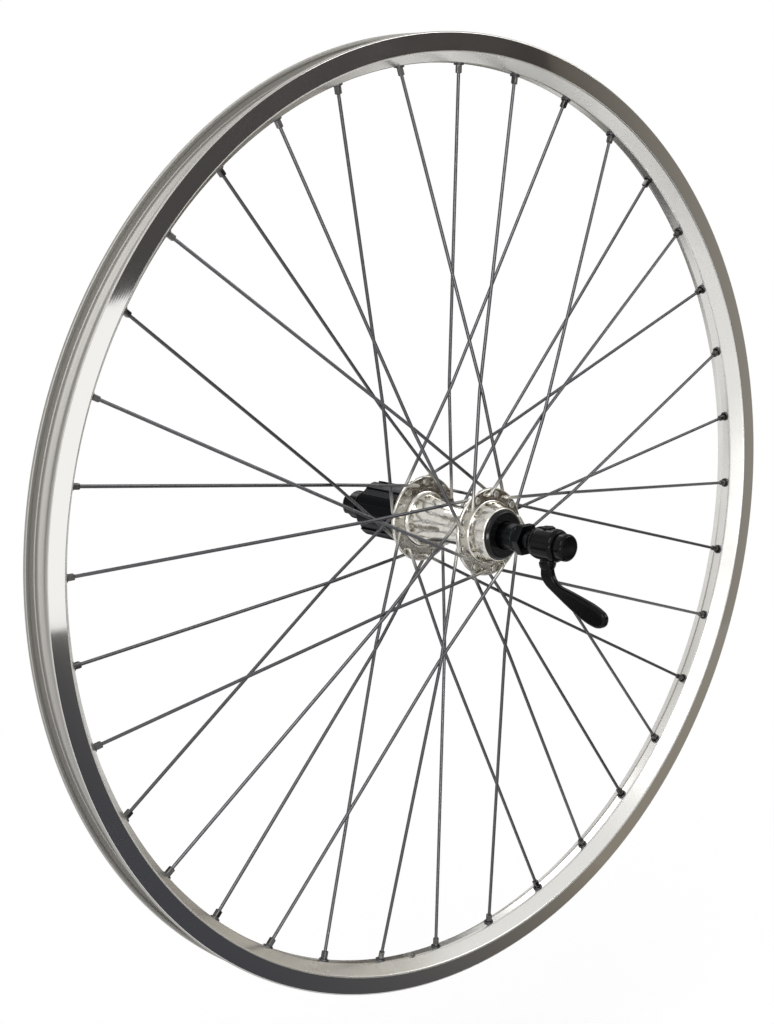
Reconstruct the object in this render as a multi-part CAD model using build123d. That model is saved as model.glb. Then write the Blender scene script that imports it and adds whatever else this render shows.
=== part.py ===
from build123d import *
import math
import os

# A bicycle rear wheel in millimetres. The axle lies along Y with the drive side at +Y and
# the quick-release lever at -Y, Z is up, and the origin is on the axle in the rim's centre plane.

# Rim
RIM_DIAMETER = 571.0
RIM_WIDTH = 22.8
RIM_HEIGHT = 17.0
RIM_WALL = 1.6
RIM_LIP = 2.0
BRAKE_TRACK_HEIGHT = 11.2
BEAD_SEAT_DEPTH = 6.0
BEAD_SEAT_WIDTH = 2.6
WELL_DEPTH = 2.6
WELL_WIDTH = 10.4
SPOKE_BED_WIDTH = 6.4
VALVE_HOLE_DIAMETER = 8.5
VALVE_ANGLE = 263.43

# Lacing
SPOKE_COUNT = 36
FIRST_NIPPLE_ANGLE = 88.43
LACING_TURN = 60.0
SPOKE_DIAMETER = 2.0
SPOKE_SIDES = 5
SPOKE_HEAD_DIAMETER = 4.2
SPOKE_HEAD_THICKNESS = 1.0
ELBOW_OFFSET = 3.7
CROSSING_PLAY = 0.05
NIPPLE_LENGTH = 10.5
NIPPLE_WIDTH = 3.3
NIPPLE_HEAD_WIDTH = 5.2
NIPPLE_HEAD_LENGTH = 2.5
NIPPLE_HOLE_WIDTH = 4.2
NIPPLE_BORE_PLAY = 0.02

# Hub
LOCKNUT_WIDTH = 135.0
AXLE_LENGTH = 146.0
AXLE_DIAMETER = 10.0
AXLE_BORE = 5.6
LEFT_FLANGE_INSET = 32.5
RIGHT_FLANGE_INSET = 47.5
FLANGE_DIAMETER = 52.0
FLANGE_THICKNESS = 2.4
SPOKE_CIRCLE_DIAMETER = 45.0
FLANGE_HOLE_WIDTH = 2.3
LEFT_BOSS_LENGTH = 10.3
LEFT_BOSS_DIAMETER = 36.4
LEFT_BOSS_TAPER = 2.6
RIGHT_BOSS_LENGTH = 4.3
RIGHT_BOSS_DIAMETER = 35.0
WAIST_DIAMETER = 23.2
WAIST_LENGTH = 20.0
WAIST_SHIFT = 4.0
BARREL_LEFT_DIAMETER = 29.0
BARREL_RIGHT_DIAMETER = 31.0
SPIGOT_DIAMETER = 14.8
SPIGOT_LENGTH = 16.0
SPIGOT_PLAY = 0.5
DUST_CAP_DIAMETER = 30.0
DUST_CAP_THICKNESS = 2.5

# Bearings
BALL_DIAMETER = 6.35
BALLS_PER_SIDE = 9
BALL_CIRCLE_DIAMETER = 18.8
LEFT_BALL_INSET = 4.0
RIGHT_BALL_INSET = 5.8
RACE_PLAY = 0.15
CONE_DIAMETER = 16.0
LOCKNUT_THICKNESS = 5.0
LOCKNUT_FLATS = 17.0

# Freehub
FREEHUB_LENGTH = 37.4
FREEHUB_DIAMETER = 34.6
FREEHUB_CORE_DIAMETER = 28.24
FREEHUB_RUNNING_FIT = 0.08
SPLINE_COUNT = 9
SPLINE_DEPTH = 1.2
SPLINE_GROOVE = 5.4
SPLINE_KEY_GROOVE = 3.6
SPLINE_SHOULDER = 2.5
RATCHET_TEETH = 24
RATCHET_DEPTH = 1.1
RATCHET_WIDTH = 5.0
PAWL_DEPTH = 3.2
PAWL_RELIEF = 0.5
PAWL_TIP_PLAY = 0.5

# Quick release
ROD_DIAMETER = 5.0
HEAD_DIAMETER = 19.2
HEAD_LENGTH = 19.0
BARREL_DIAMETER = 15.8
BARREL_LENGTH = 7.0
PIVOT_OFFSET = 9.5
JOURNAL_DIAMETER = 9.0
TOP_JOURNAL_DIAMETER = 5.0
JOURNAL_FIT = 0.08
CAM_DIAMETER = 7.0
CAM_THROW = 0.7
CAM_HEIGHT = 6.4
ROD_BLOCK_WALL = 1.4
LEVER_THICKNESS = 5.0
LEVER_NECK_WIDTH = 9.4
LEVER_COLLAR_GAP = 1.0
LEVER_REACH = 45.5
LEVER_DROP = 30.6
CAP_DIAMETER = 8.4
TOP_FLAT_DEPTH = 0.6
CAP_HEIGHT = 2.4
SKEWER_NUT_DIAMETER = 17.8
SKEWER_NUT_LENGTH = 13.0
SKEWER_NUT_GAP = 1.0
SKEWER_NUT_COLLAR = 7.0
SKEWER_NUT_GRIP = 10.0
SKEWER_NUT_END_WALL = 2.0

CLEARANCE = 0.3

# Places along the axle
left_face = -LOCKNUT_WIDTH / 2
right_face = LOCKNUT_WIDTH / 2
left_axle_end = -AXLE_LENGTH / 2
right_axle_end = AXLE_LENGTH / 2
left_stop = min(left_face, left_axle_end)
right_stop = max(right_face, right_axle_end)
left_flange_y = left_face + LEFT_FLANGE_INSET
right_flange_y = right_face - RIGHT_FLANGE_INSET
hub_left_end = left_flange_y - FLANGE_THICKNESS / 2 - LEFT_BOSS_LENGTH
hub_right_end = right_flange_y + FLANGE_THICKNESS / 2 + RIGHT_BOSS_LENGTH
freehub_start = hub_right_end + CLEARANCE
freehub_end = freehub_start + FREEHUB_LENGTH
left_ball_y = hub_left_end + LEFT_BALL_INSET
right_ball_y = freehub_end - RIGHT_BALL_INSET

# Radii
rim_radius = RIM_DIAMETER / 2
bed_radius = rim_radius - RIM_HEIGHT
bed_middle = bed_radius + RIM_WALL / 2
spoke_circle = SPOKE_CIRCLE_DIAMETER / 2
ball_radius = BALL_DIAMETER / 2
ball_circle = BALL_CIRCLE_DIAMETER / 2
cup_radius = ball_circle + ball_radius + RACE_PLAY
axle_radius = AXLE_DIAMETER / 2
core_radius = FREEHUB_CORE_DIAMETER / 2


def turned(points):
    """A solid turned about the axle from (radius, y) points."""
    return revolve(make_face(Polyline(*points, close=True)), axis=Axis.Y)


def round_y(radius, start, end):
    """A round bar along the axle."""
    return turned([(0, start), (radius, start), (radius, end), (0, end)])


def round_z(radius, start, end, y):
    """A round bar along Z at a place on the axle."""
    return Pos(0, y, start) * extrude(Circle(radius), end - start)


def around(solid, angle):
    """Turn a solid about the axle from +X towards +Z."""
    return Rot(0, -angle, 0) * solid


def polar(radius, y, angle):
    """The point at a radius and angle about the axle."""
    turn = math.radians(angle)
    return Vector(radius * math.cos(turn), y, radius * math.sin(turn))


def radial_hole(outline, start, end, angle):
    """A cutter along a radius of the wheel."""
    bar = Pos(start, 0, 0) * extrude(Plane.YZ * outline, end - start)
    return around(bar, angle)


def nipple_angle(index):
    return FIRST_NIPPLE_ANGLE - index * 360 / SPOKE_COUNT


def make_rim():
    """Double-wall rim: brake tracks, tyre channel with a well, hollow chamber and drilled walls."""
    half = RIM_WIDTH / 2
    bed_half = SPOKE_BED_WIDTH / 2
    track_foot = rim_radius - BRAKE_TRACK_HEIGHT
    seat = rim_radius - BEAD_SEAT_DEPTH
    well = seat - WELL_DEPTH
    channel = half - RIM_LIP
    outline = [
        (bed_radius, bed_half),
        (track_foot, half),
        (rim_radius, half),
        (rim_radius, channel),
        (seat, channel),
        (seat, channel - BEAD_SEAT_WIDTH),
        (well, WELL_WIDTH / 2),
    ]
    outline += [(radius, -y) for radius, y in reversed(outline)]
    slope = (track_foot - bed_radius) / (half - bed_half)
    chamber_floor = bed_radius + RIM_WALL
    chamber_top = well - RIM_WALL
    slant = RIM_WALL * math.hypot(1, slope) - RIM_WALL
    chamber_half = bed_half + (chamber_top - chamber_floor - slant) / slope
    chamber = [
        (chamber_floor, bed_half - slant / slope),
        (chamber_top, chamber_half),
        (chamber_top, -chamber_half),
        (chamber_floor, slant / slope - bed_half),
    ]
    rim = turned(outline) - turned(chamber)
    chamber_middle = (chamber_floor + chamber_top) / 2
    nipple_hole = Rectangle(NIPPLE_HOLE_WIDTH, NIPPLE_HOLE_WIDTH)
    cutters = [radial_hole(Circle(VALVE_HOLE_DIAMETER / 2), bed_radius - 2, well + 1, VALVE_ANGLE)]
    for index in range(SPOKE_COUNT):
        cutters.append(
            radial_hole(nipple_hole, bed_radius - 2, chamber_middle, nipple_angle(index))
        )
    return rim - cutters


def lacing(index):
    """The path of one spoke: flange side, hole angle, and points from its head to its end.

    Holes go right flange, left flange in turn. Spokes turned forward lie outside their flange
    and pass inside their partner at the outermost crossing, and the others do the reverse.
    """
    side = 1 if index % 2 == 0 else -1
    forward = index % 4 in (1, 2)
    sense = 1 if forward else -1
    flange_y = right_flange_y if side > 0 else left_flange_y
    rim_angle = nipple_angle(index)
    hole_angle = rim_angle + sense * LACING_TURN
    crossing_turn = 360 / SPOKE_COUNT
    crossing_radius = (
        spoke_circle * bed_middle * math.sin(math.radians(LACING_TURN))
        / (
            spoke_circle * math.sin(math.radians(LACING_TURN - crossing_turn))
            + bed_middle * math.sin(math.radians(crossing_turn))
        )
    )
    outward = side * sense
    hole = polar(spoke_circle, flange_y, hole_angle)
    rim_point = polar(bed_middle, 0, rim_angle)
    crossing = polar(crossing_radius, 0, rim_angle + sense * crossing_turn)
    flat_hole = polar(spoke_circle, 0, hole_angle)
    share = (crossing - flat_hole).length / (rim_point - flat_hole).length
    crossing_y = flange_y * (1 - share) - outward * (SPOKE_DIAMETER / 2 + CROSSING_PLAY)
    crossing = crossing + Vector(0, crossing_y, 0)
    corner = hole + Vector(0, outward * ELBOW_OFFSET, 0)
    inward_face = hole - Vector(0, outward * FLANGE_THICKNESS / 2, 0)
    last_run = (rim_point - crossing).normalized()
    return {
        "side": side,
        "head": inward_face,
        "outward": outward,
        "points": [
            inward_face - Vector(0, outward * SPOKE_HEAD_THICKNESS / 2, 0),
            corner,
            crossing,
            rim_point + last_run * (RIM_WALL * 2),
        ],
        "rim_point": rim_point,
        "last_run": last_run,
    }


def make_spoke(index):
    """One spoke: head, elbow, a bend round its partner, and a straight run to the nipple."""
    lace = lacing(index)
    points = lace["points"]
    start = Plane(points[0], z_dir=points[1] - points[0])
    wire = sweep(
        start * RegularPolygon(SPOKE_DIAMETER / 2, SPOKE_SIDES),
        path=Polyline(*points),
        transition=Transition.RIGHT,
    )
    head_plane = Plane(lace["head"], x_dir=start.x_dir, z_dir=(0, -lace["outward"], 0))
    head = extrude(head_plane * RegularPolygon(SPOKE_HEAD_DIAMETER / 2, SPOKE_SIDES), SPOKE_HEAD_THICKNESS)
    return wire + head


def make_nipple(index):
    """One nipple on the spoke's last run, its head inside the rim's chamber."""
    lace = lacing(index)
    along = lace["last_run"]
    across = Vector(0, 1, 0).cross(along).normalized()
    plane = Plane(lace["rim_point"], x_dir=across, z_dir=along)
    seat = RIM_WALL
    top = seat + NIPPLE_HEAD_LENGTH
    foot = top - NIPPLE_LENGTH
    shank = Pos(0, 0, foot) * extrude(Rectangle(NIPPLE_WIDTH, NIPPLE_WIDTH), NIPPLE_LENGTH)
    head = Pos(0, 0, seat) * extrude(
        Rectangle(NIPPLE_HEAD_WIDTH, NIPPLE_HEAD_WIDTH), NIPPLE_HEAD_LENGTH
    )
    bore_width = SPOKE_DIAMETER + NIPPLE_BORE_PLAY
    bore = Pos(0, 0, foot - 1) * extrude(
        Rectangle(bore_width, bore_width), RIM_WALL * 2 + CLEARANCE - foot + 1
    )
    return plane * (shank + head - bore)


def make_hub_shell():
    """Waisted hub with two drilled flanges, the left bearing cup and a bore for the core."""
    flange = FLANGE_DIAMETER / 2
    half = FLANGE_THICKNESS / 2
    left = left_flange_y
    right = right_flange_y
    waist = WAIST_DIAMETER / 2
    waist_middle = (left + right) / 2 - WAIST_SHIFT
    left_boss = LEFT_BOSS_DIAMETER / 2
    right_boss = RIGHT_BOSS_DIAMETER / 2
    spigot = SPIGOT_DIAMETER / 2
    shell = turned([
        (left_boss - LEFT_BOSS_TAPER, hub_left_end),
        (left_boss, left - half),
        (flange, left - half),
        (flange, left + half),
        (BARREL_LEFT_DIAMETER / 2, left + half),
        (waist, waist_middle - WAIST_LENGTH / 2),
        (waist, waist_middle + WAIST_LENGTH / 2),
        (BARREL_RIGHT_DIAMETER / 2, right - half),
        (flange, right - half),
        (flange, right + half),
        (right_boss, right + half),
        (right_boss, hub_right_end),
        (spigot, hub_right_end),
        (spigot, cup_floor(-1, left_ball_y)),
        (cup_radius, cup_floor(-1, left_ball_y)),
        (cup_radius, hub_left_end),
    ])
    cutters = []
    for index in range(SPOKE_COUNT):
        lace = lacing(index)
        hole = Rectangle(FLANGE_HOLE_WIDTH, FLANGE_HOLE_WIDTH)
        base = lace["head"] - Vector(0, lace["outward"], 0)
        plane = Plane(base, z_dir=(0, lace["outward"], 0))
        cutters.append(extrude(plane * hole, FLANGE_THICKNESS + 2))
    return shell - cutters


def cup_floor(outward, ball_y):
    """Where a bearing cup's square shoulder lies behind its balls."""
    return ball_y - outward * (ball_radius + RACE_PLAY)


def make_dust_cap():
    """Black cap over the left bearing."""
    bore = CONE_DIAMETER / 2 + CLEARANCE
    edge = DUST_CAP_DIAMETER / 2
    outer = hub_left_end - DUST_CAP_THICKNESS
    return turned([(bore, hub_left_end), (edge, hub_left_end), (edge, outer), (bore, outer)])


def make_cone(outward, ball_y, end):
    """Cone threaded on the axle, with a 45 degree race, reaching out to the locknut."""
    reach = ball_radius * math.sqrt(2) + RACE_PLAY - ball_circle
    wide = CONE_DIAMETER / 2
    return turned([
        (axle_radius, ball_y + outward * (axle_radius + reach)),
        (wide, ball_y + outward * (wide + reach)),
        (wide, end),
        (axle_radius, end),
    ])


def make_locknut(start, end):
    """Hexagon locknut on the axle."""
    corner = LOCKNUT_FLATS / math.sqrt(3)
    bar = Pos(0, start, 0) * extrude(Plane.XZ * RegularPolygon(corner, 6), start - end)
    return bar - round_y(axle_radius, min(start, end) - 1, max(start, end) + 1)


def make_ball(y, angle):
    """A bearing ball as a many-sided solid that fits inside the true sphere."""
    width = ball_radius * math.sqrt(2)
    cube = Box(width, width, width)
    for signs in [(a, b, c) for a in (-1, 1) for b in (-1, 1) for c in (-1, 1)]:
        normal = Vector(*signs)
        plane = Plane(normal * (width / 3), z_dir=normal)
        cube = split(cube, bisect_by=plane, keep=Keep.BOTTOM)
    return Pos(*polar(ball_circle, y, angle)) * cube


def make_axle():
    """Hollow axle."""
    bore = AXLE_BORE / 2
    return turned([
        (bore, left_axle_end),
        (axle_radius, left_axle_end),
        (axle_radius, right_axle_end),
        (bore, right_axle_end),
    ])


def pawl_angles():
    return (0.0, 180.0)


def pawl_outline(play):
    """A pawl, or with some play its pocket, in the plane across the axle."""
    pitch = 360 / RATCHET_TEETH
    tip = pitch - PAWL_TIP_PLAY
    spread = math.degrees(play / core_radius)
    places = [
        (core_radius - PAWL_DEPTH - play, -pitch - spread),
        (core_radius - PAWL_DEPTH - play, tip + spread),
        (core_radius + RATCHET_DEPTH * 0.8 + play, tip + spread),
        (core_radius + RATCHET_DEPTH * 0.3 + play, pitch * 0.5),
        (core_radius - PAWL_RELIEF + play, pitch * 0.1),
        (core_radius - PAWL_RELIEF + play, -pitch - spread),
    ]
    corners = [polar(radius, 0, angle) for radius, angle in places]
    return make_face(Polyline(*[(corner.X, corner.Z) for corner in corners], close=True))


def ratchet_start():
    return freehub_start + SPLINE_SHOULDER


def make_pawl(angle, play):
    """A spring-loaded pawl in its pocket of the core."""
    start = ratchet_start() + CLEARANCE - play
    length = RATCHET_WIDTH - 2 * CLEARANCE + 2 * play
    bar = Pos(0, start, 0) * extrude(Plane.XZ * pawl_outline(play), -length)
    return around(bar, angle)


def make_freehub_core():
    """Core screwed into the hub by a hollow spigot, with pawl pockets and the right bearing cup."""
    spigot = SPIGOT_DIAMETER / 2
    bore = axle_radius + SPIGOT_PLAY
    cup_end = right_ball_y + ball_radius / 2
    core = turned([
        (bore, hub_right_end - SPIGOT_LENGTH),
        (spigot, hub_right_end - SPIGOT_LENGTH),
        (spigot, hub_right_end),
        (core_radius, hub_right_end),
        (core_radius, cup_end),
        (cup_radius, cup_end),
        (cup_radius, cup_floor(1, right_ball_y)),
        (bore, cup_floor(1, right_ball_y)),
    ])
    return core - [make_pawl(angle, CLEARANCE) for angle in pawl_angles()]


def make_freehub_body():
    """Splined body for the sprockets, with the ratchet ring inside."""
    bore = core_radius + FREEHUB_RUNNING_FIT
    tip = FREEHUB_DIAMETER / 2
    body = turned([
        (bore, freehub_start), (tip, freehub_start), (tip, freehub_end), (bore, freehub_end),
    ])
    groove_length = FREEHUB_LENGTH - SPLINE_SHOULDER
    cutters = []
    for index in range(SPLINE_COUNT):
        width = SPLINE_KEY_GROOVE if index == 0 else SPLINE_GROOVE
        groove = Pos(tip, freehub_end, 0) * Box(2 * SPLINE_DEPTH, 2 * groove_length, width)
        cutters.append(around(groove, 90 + index * 360 / SPLINE_COUNT))
    pitch = 360 / RATCHET_TEETH
    ring = []
    for index in range(RATCHET_TEETH):
        foot = polar(bore, 0, index * pitch)
        root = polar(bore + RATCHET_DEPTH, 0, (index + 1) * pitch)
        ring.append((foot.X, foot.Z))
        ring.append((root.X, root.Z))
    ratchet = Pos(0, ratchet_start(), 0) * extrude(
        Plane.XZ * make_face(Polyline(*ring, close=True)), -RATCHET_WIDTH
    )
    return body - cutters - ratchet


def pivot_y():
    return left_stop - PIVOT_OFFSET


def make_qr_housing():
    """Quick-release head: clamp face, cam cavity and two journal bores."""
    start = left_stop
    head = HEAD_DIAMETER / 2
    barrel = BARREL_DIAMETER / 2
    head_end = start - HEAD_LENGTH
    end = head_end - BARREL_LENGTH
    rod = ROD_DIAMETER / 2 + CLEARANCE
    body = turned([
        (rod, start),
        (head, start),
        (head, head_end),
        (barrel, head_end),
        (barrel, end),
        (0, end),
        (0, pivot_y()),
        (rod, pivot_y()),
    ])
    y = pivot_y()
    eye = eye_radius() + CAM_THROW + CLEARANCE
    cavity = Pos(0, y, 0) * Box(
        2 * (eye_radius() + CLEARANCE), 2 * eye, CAM_HEIGHT + 2 * CLEARANCE
    )
    bottom = round_z(JOURNAL_DIAMETER / 2 + JOURNAL_FIT, -head - 1, 0, y)
    top = round_z(TOP_JOURNAL_DIAMETER / 2 + JOURNAL_FIT, 0, head + 1, y)
    top_flat = Pos(0, y, head) * Box(2 * head, CAP_DIAMETER * 1.12, 2 * TOP_FLAT_DEPTH)
    return body - cavity - bottom - top - top_flat


def eye_radius():
    return CAM_DIAMETER / 2 + CAM_THROW + ROD_BLOCK_WALL


def make_skewer_rod():
    """Skewer rod with a slotted block that the lever's cam pulls."""
    y = pivot_y()
    end = right_stop + SKEWER_NUT_GAP + SKEWER_NUT_LENGTH - SKEWER_NUT_END_WALL
    height = CAM_HEIGHT - 2 * CLEARANCE
    block = Pos(0, y, 0) * Box(2 * eye_radius(), 2 * eye_radius(), height)
    slack = CAM_THROW * 0.3
    slot = Pos(0, y, 0) * Box(
        CAM_DIAMETER + 2 * CAM_THROW + 2 * CLEARANCE, CAM_DIAMETER + 2 * slack, 2 * height
    )
    return block + round_y(ROD_DIAMETER / 2, y, end) - slot


def make_qr_lever():
    """Lever: shaft with two journals and an eccentric cam, a neck and a curved paddle."""
    y = pivot_y()
    head = HEAD_DIAMETER / 2
    half_cam = CAM_HEIGHT / 2
    neck = LEVER_NECK_WIDTH / 2
    collar = -head - LEVER_COLLAR_GAP
    shaft = round_z(JOURNAL_DIAMETER / 2, collar - LEVER_THICKNESS, -half_cam, y)
    cam = Pos(CAM_THROW, 0, 0) * round_z(CAM_DIAMETER / 2, -half_cam, half_cam, y)
    top = round_z(TOP_JOURNAL_DIAMETER / 2, half_cam, head - TOP_FLAT_DEPTH, y)
    # The blade's outline, in shares of its reach and drop from the pivot.
    lower_edge = [(0.05, 0.47), (0.20, 0.61), (0.46, 0.83), (0.77, 0.985), (0.88, 1.0), (0.955, 0.935)]
    upper_edge = [(1.0, 0.8), (0.975, 0.675), (0.885, 0.6), (0.71, 0.52), (0.38, 0.435), (0.25, 0.39)]
    outline = [(y + neck, collar), (y + neck, collar - LEVER_DROP * 0.34)]
    outline += [
        (y - LEVER_REACH * out, collar - LEVER_DROP * down) for out, down in lower_edge + upper_edge
    ]
    outline += [(y - neck - LEVER_THICKNESS / 2, collar - LEVER_DROP * 0.31)]
    outline += [(y - neck, collar - LEVER_DROP * 0.17), (y - neck, collar)]
    blade = extrude(
        Plane.YZ * make_face(Polyline(*outline, close=True)), LEVER_THICKNESS / 2, both=True
    )
    return shaft + cam + top + blade


def make_lever_cap_screw():
    """Hexagon cap screw that holds the lever's shaft in the head."""
    floor = HEAD_DIAMETER / 2 - TOP_FLAT_DEPTH
    return Pos(0, pivot_y(), floor) * extrude(RegularPolygon(CAP_DIAMETER / 2, 6), CAP_HEIGHT)


def make_skewer_nut():
    """Thumb nut on the skewer's thread, with two flats to grip."""
    start = right_stop + SKEWER_NUT_GAP
    end = start + SKEWER_NUT_LENGTH
    rod_end = end - SKEWER_NUT_END_WALL
    radius = SKEWER_NUT_DIAMETER / 2
    body = round_y(radius, start, end) - round_y(ROD_DIAMETER / 2, start, rod_end)
    side = (SKEWER_NUT_DIAMETER - SKEWER_NUT_GRIP) / 2
    length = SKEWER_NUT_LENGTH - SKEWER_NUT_COLLAR
    flat = Box(SKEWER_NUT_DIAMETER, 2 * length, 2 * side)
    return body - [Pos(0, end, radius) * flat, Pos(0, end, -radius) * flat]


nodes = {
    "rim": [make_rim()],
    "spoke_nipples": [make_nipple(index) for index in range(SPOKE_COUNT)],
    "hub_shell": [make_hub_shell()],
    "left_dust_cap": [make_dust_cap()],
    "bearing_balls": [
        make_ball(y, index * 360 / BALLS_PER_SIDE)
        for y in (left_ball_y, right_ball_y)
        for index in range(BALLS_PER_SIDE)
    ],
    "axle": [make_axle()],
    "cones": [
        make_cone(-1, left_ball_y, left_face + LOCKNUT_THICKNESS),
        make_cone(1, right_ball_y, right_face - LOCKNUT_THICKNESS),
    ],
    "locknuts": [
        make_locknut(left_face, left_face + LOCKNUT_THICKNESS),
        make_locknut(right_face - LOCKNUT_THICKNESS, right_face),
    ],
    "freehub_core": [make_freehub_core()],
    "freehub_pawls": [make_pawl(angle, 0) for angle in pawl_angles()],
    "freehub_body": [make_freehub_body()],
    "qr_housing": [make_qr_housing()],
    "qr_lever": [make_qr_lever()],
    "lever_cap_screw": [make_lever_cap_screw()],
    "skewer_rod": [make_skewer_rod()],
    "skewer_nut": [make_skewer_nut()],
}
for index in range(SPOKE_COUNT):
    side = "right" if index % 2 == 0 else "left"
    nodes[f"spoke_{side}_{index // 2 + 1:02d}"] = [make_spoke(index)]

os.makedirs("parts", exist_ok=True)
for name, solids in nodes.items():
    pieces = [solid for shape in solids for solid in shape.solids()]
    export_step(pieces[0] if len(pieces) == 1 else Compound(children=pieces), f"parts/{name}.step")
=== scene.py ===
import math

import bmesh
import bpy
from mathutils import Matrix, Vector


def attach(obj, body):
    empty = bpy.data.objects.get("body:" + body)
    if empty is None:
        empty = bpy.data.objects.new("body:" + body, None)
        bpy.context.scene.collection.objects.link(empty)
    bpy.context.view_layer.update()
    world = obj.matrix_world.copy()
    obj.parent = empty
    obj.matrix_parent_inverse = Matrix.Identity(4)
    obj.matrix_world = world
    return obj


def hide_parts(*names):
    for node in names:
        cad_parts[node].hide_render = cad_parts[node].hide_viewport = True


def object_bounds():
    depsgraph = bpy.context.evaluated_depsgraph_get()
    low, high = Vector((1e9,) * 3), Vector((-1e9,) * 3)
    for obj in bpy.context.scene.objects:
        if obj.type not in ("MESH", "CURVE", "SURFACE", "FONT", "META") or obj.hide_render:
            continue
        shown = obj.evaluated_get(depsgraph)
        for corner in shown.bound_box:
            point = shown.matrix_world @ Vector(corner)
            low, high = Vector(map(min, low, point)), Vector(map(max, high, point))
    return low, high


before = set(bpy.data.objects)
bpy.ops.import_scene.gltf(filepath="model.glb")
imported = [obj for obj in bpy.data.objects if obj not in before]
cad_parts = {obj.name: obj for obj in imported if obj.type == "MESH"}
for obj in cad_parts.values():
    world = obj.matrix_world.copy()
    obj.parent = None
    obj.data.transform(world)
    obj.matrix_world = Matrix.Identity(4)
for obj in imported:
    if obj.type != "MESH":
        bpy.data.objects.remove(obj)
cad_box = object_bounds()

# Studio: a pale floor under the hanging wheel, soft lamps on three sides, and cards that only
# the polished metal mirrors. The white ground behind is what the camera and the metal see.

scene = bpy.context.scene
scene.view_settings.view_transform = "Standard"


def linear(hex_colour):
    """Linear colour of an sRGB hex value."""
    channels = [int(hex_colour[place:place + 2], 16) / 255 for place in (1, 3, 5)]
    return [c / 12.92 if c <= 0.04045 else ((c + 0.055) / 1.055) ** 2.4 for c in channels] + [1.0]


def add_node(tree, kind, values=None, links=None, **settings):
    """Add a shader node, set its properties and inputs, and link other outputs to it."""
    made = tree.nodes.new(kind)
    for name, value in settings.items():
        setattr(made, name, value)
    for name, value in (values or {}).items():
        made.inputs[name].default_value = value
    for name, source in (links or {}).items():
        tree.links.new(source, made.inputs[name])
    return made


def empty_tree(owner):
    """Switch a material or world to nodes and clear them."""
    owner.use_nodes = True
    owner.node_tree.nodes.clear()
    return owner.node_tree


def seen_white(tree):
    """One where the camera, a mirror or glass looks at a surface, else nought."""
    path = add_node(tree, "ShaderNodeLightPath")
    first = add_node(
        tree, "ShaderNodeMath", operation="MAXIMUM",
        links={0: path.outputs["Is Camera Ray"], 1: path.outputs["Is Glossy Ray"]},
    )
    return add_node(
        tree, "ShaderNodeMath", operation="MAXIMUM",
        links={0: first.outputs[0], 1: path.outputs["Is Transmission Ray"]},
    ).outputs[0]


WHITE = linear("#FFFFFF")
FILL_STRENGTH = 0.55
world = bpy.data.worlds.new("studio_white")
scene.world = world
tree = empty_tree(world)
fill = add_node(tree, "ShaderNodeBackground", {"Color": WHITE, "Strength": FILL_STRENGTH})
ground = add_node(tree, "ShaderNodeBackground", {"Color": WHITE, "Strength": 1.0})
mixed = add_node(
    tree, "ShaderNodeMixShader",
    links={0: seen_white(tree), 1: fill.outputs[0], 2: ground.outputs[0]},
)
add_node(tree, "ShaderNodeOutputWorld", links={"Surface": mixed.outputs[0]})

# The camera stands in front of the lever side and looks down at the hub by 11 degrees.
eye = Vector((-0.76690, -0.79214, 0.21984))
right = Vector((0.740684, -0.671853, 0.0))
up = Vector((0.127589, 0.140661, 0.981802))
camera_data = bpy.data.cameras.new("camera")
camera_data.lens = 65.929
camera_data.sensor_width = 36.0
camera = bpy.data.objects.new("camera", camera_data)
scene.collection.objects.link(camera)
turn = Matrix((right, up, right.cross(up))).transposed()
camera.matrix_world = Matrix.Translation(eye) @ turn.to_4x4()
scene.camera = camera


def piece_from(bm, name):
    """Turn a bmesh into an object at the origin."""
    mesh = bpy.data.meshes.new(name)
    bm.to_mesh(mesh)
    bm.free()
    made = bpy.data.objects.new(name, mesh)
    scene.collection.objects.link(made)
    return made


FLOOR_DROP = 0.16
FLOOR_HALF = 6.0
FADE_PER_METRE = 0.9
SHADOW_SHARE = 0.9
floor_z = cad_box[0][2] - FLOOR_DROP
floor_mesh = bmesh.new()
bmesh.ops.create_grid(
    floor_mesh, x_segments=1, y_segments=1, size=FLOOR_HALF,
    matrix=Matrix.Translation((0, 0, floor_z)),
)
floor = piece_from(floor_mesh, "floor")
# White paper: matte under the wheel, where it keeps the shadow, and fading to the white ground.
paper = bpy.data.materials.new("white_paper_floor")
tree = empty_tree(paper)
matte = add_node(tree, "ShaderNodeBsdfDiffuse", {"Color": WHITE})
bright = add_node(tree, "ShaderNodeEmission", {"Color": WHITE, "Strength": 1.0})
spot = add_node(tree, "ShaderNodeTexCoord").outputs["Object"]
level = add_node(
    tree, "ShaderNodeVectorMath", {1: (FADE_PER_METRE, FADE_PER_METRE, 0)}, {0: spot},
    operation="MULTIPLY",
)
under = add_node(
    tree, "ShaderNodeTexGradient", links={"Vector": level.outputs[0]},
    gradient_type="QUADRATIC_SPHERE",
)
fade = add_node(
    tree, "ShaderNodeMath", {1: -SHADOW_SHARE, 2: 1.0}, {0: under.outputs["Fac"]},
    operation="MULTIPLY_ADD",
)
white = add_node(
    tree, "ShaderNodeMath", links={0: seen_white(tree), 1: fade.outputs[0]}, operation="MULTIPLY",
)
mixed = add_node(
    tree, "ShaderNodeMixShader",
    links={0: white.outputs[0], 1: matte.outputs[0], 2: bright.outputs[0]},
)
add_node(tree, "ShaderNodeOutputMaterial", links={"Surface": mixed.outputs[0]})
floor.data.materials.append(paper)


def soft_lamp(name, place, size, power):
    """A square soft lamp that points at the hub."""
    light = bpy.data.lights.new(name, "AREA")
    light.shape = "SQUARE"
    light.size = size
    light.energy = power
    lamp = bpy.data.objects.new(name, light)
    scene.collection.objects.link(lamp)
    lamp.location = place
    lamp.rotation_euler = (-Vector(place)).to_track_quat("-Z", "Y").to_euler()


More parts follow.
